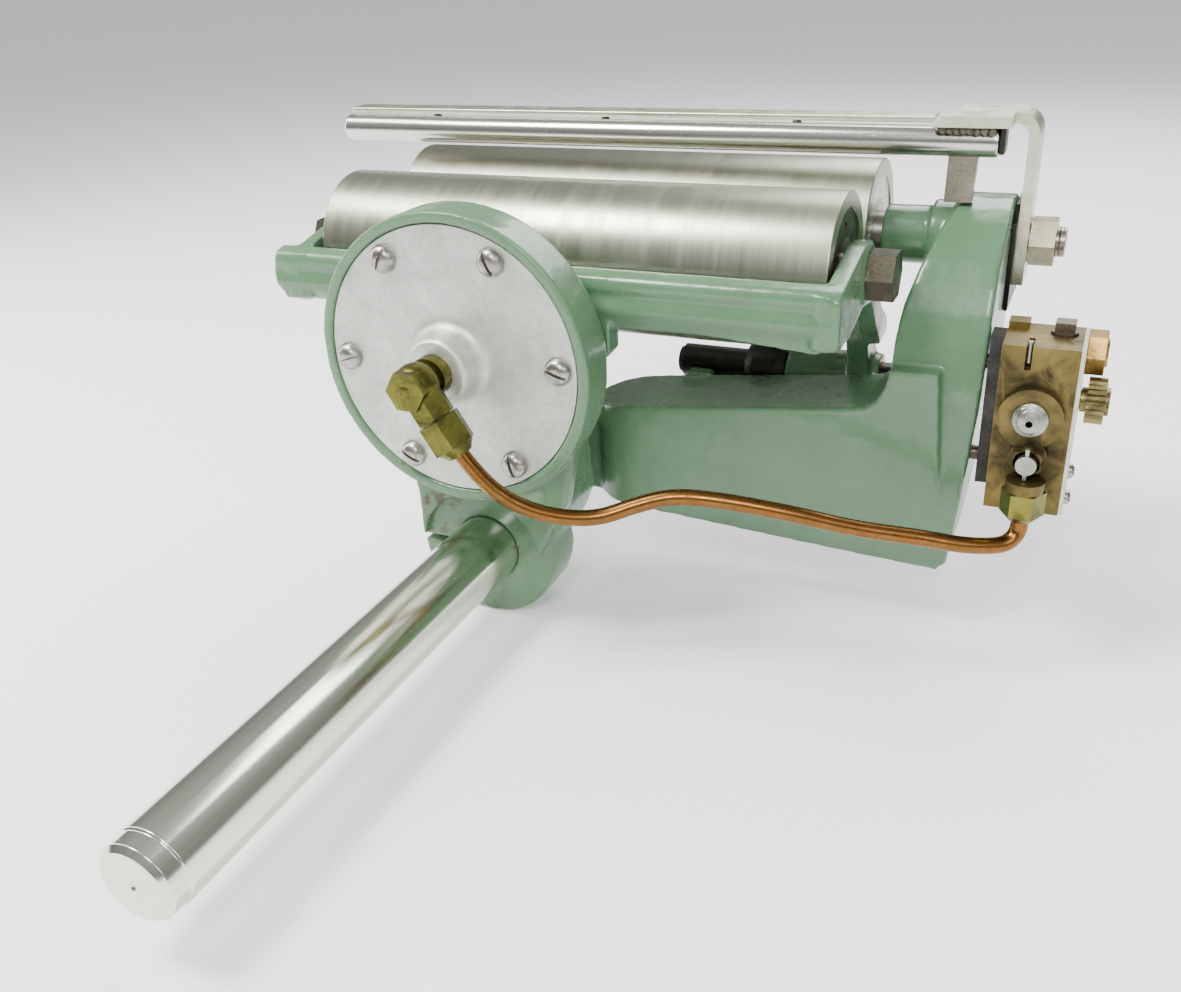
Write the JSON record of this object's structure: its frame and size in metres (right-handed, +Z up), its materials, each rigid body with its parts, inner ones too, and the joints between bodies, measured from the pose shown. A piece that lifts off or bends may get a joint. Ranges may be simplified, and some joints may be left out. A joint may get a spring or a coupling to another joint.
{
  "type": "pneumatic cloth guider head",
  "caption": "Pneumatic nip-roller web guider head: air chamber, swinging yoke roller, fixed roller, guard rod, valve block and mounting shaft.",
  "frame": {"origin": "on the mounting shaft's axis at the face of the clamp boss", "axes": "+X along the rollers towards the end standard, +Y from the shaft's free end towards the rollers, +Z up"},
  "size_m": [0.3826, 0.3893, 0.2158],
  "materials": {
    "green_enamel": "glossy machine enamel over cast iron",
    "ground_shaft": "ground and polished",
    "black_steel": "blackened",
    "dark_hardware": "oiled, lightly rusted",
    "cover_aluminium": "dull cast",
    "screw_steel": "tarnished",
    "diaphragm_rubber": "matte",
    "bronze": "plain",
    "plate_aluminium": "plain",
    "rod_steel": "plain",
    "fitting_brass": "dull olive brass",
    "copper": "drawn copper",
    "valve_brass": "oxidised",
    "valve_plate_steel": "bright",
    "port_steel": "bright threaded",
    "copper_plug": "coppery",
    "knob_brass": "dirty",
    "roller_steel": "turned",
    "front_head_steel": "dark",
    "rear_head_steel": "faced",
    "bearing_steel": "plain",
    "brown_nut": "browned",
    "zinc_nut": "yellowed zinc",
    "bracket_steel": "worn plated flat bar",
    "lug_steel": "dull",
    "weld_steel": "lumpy weld bead"
  },
  "bodies": {
    "frame": {"mount_head": "green_enamel", "main_frame": "green_enamel", "mounting_shaft": "ground_shaft", "clamp_screws": "black_steel", "frame_bolts": "dark_hardware", "chamber_cover": "cover_aluminium", "cover_screws": "screw_steel", "diaphragm": "diaphragm_rubber", "rod_bush": "bronze", "elbow_fitting": "fitting_brass", "elbow_nut": "fitting_brass", "copper_pipe": "copper", "pipe_nut": "fitting_brass", "valve_body": "valve_brass", "valve_spacer": "black_steel", "valve_mount_screws": "dark_hardware", "valve_side_plate": "valve_plate_steel", "valve_plate_screws": "screw_steel", "valve_port": "port_steel", "stem_gland": "fitting_brass", "valve_hex_plug": "copper_plug", "valve_top_screw": "dark_hardware", "valve_pin": "port_steel", "pivot_shaft": "black_steel", "pivot_collar": "black_steel", "rear_axle": "bearing_steel", "rear_axle_nut": "zinc_nut", "rear_axle_collar": "black_steel", "backing_plate": "black_steel"},
    "plunger": {"diaphragm_plate": "plate_aluminium", "push_rod": "rod_steel", "return_spring": "rod_steel"},
    "yoke": {"yoke": "green_enamel", "pivot_bushes": "bronze", "contact_screw": "dark_hardware", "contact_locknut": "dark_hardware", "front_axle": "bearing_steel", "front_axle_nuts": "brown_nut"},
    "front_roller": {"front_roller_tube": "roller_steel", "front_roller_heads": "front_head_steel", "front_bearings": "bearing_steel"},
    "rear_roller": {"rear_roller_tube": "roller_steel", "rear_roller_heads": "rear_head_steel", "rear_bearings": "bearing_steel"},
    "guard": {"guard_bracket": "bracket_steel", "guard_strip": "bracket_steel", "guard_rod": "ground_shaft", "guard_stop_lug": "lug_steel", "guard_weld": "weld_steel", "guard_end_clip": "black_steel"},
    "valve_stem": {"valve_stem": "port_steel"},
    "valve_knob": {"valve_knob": "knob_brass"}
  },
  "joints": [
    {"name": "yoke_swing", "type": "hinge", "parent": "frame", "child": "yoke", "pos_m": [0.134, 0.115, 0.0596], "axis": [1, 0, 0], "range_deg": [-3, 0], "stiffness_Nm_per_rad": 6, "springref_deg": 14.32},
    {"name": "plunger_slide", "type": "slide", "parent": "frame", "child": "plunger", "axis": [0, 1, 0], "range_m": [0, 0.002], "deforming": ["return_spring"]},
    {"name": "front_roller_spin", "type": "hinge", "parent": "yoke", "child": "front_roller", "pos_m": [0.0295, 0.059, 0.1259], "axis": [1, 0, 0], "continuous": true},
    {"name": "rear_roller_spin", "type": "hinge", "parent": "frame", "child": "rear_roller", "pos_m": [0.029, 0.1288, 0.1259], "axis": [1, 0, 0], "continuous": true},
    {"name": "guard_swing", "type": "hinge", "parent": "frame", "child": "guard", "pos_m": [0.213, 0.1288, 0.1259], "axis": [1, 0, 0], "range_deg": [-95, 0]},
    {"name": "valve_stem_turn", "type": "hinge", "parent": "frame", "child": "valve_stem", "pos_m": [0.2285, 0.045, 0.0601], "axis": [0, 1, 0], "range_deg": [-40, 40], "stiffness_Nm_per_rad": 0.02},
    {"name": "valve_knob_turn", "type": "hinge", "parent": "frame", "child": "valve_knob", "pos_m": [0.25, 0.065, 0.079], "axis": [1, 0, 0], "range_deg": [-170, 170]}
  ],
  "couplings": [
    {"joint": "plunger_slide", "follows": "yoke_swing", "m_per_rad": -0.037}
  ]
}
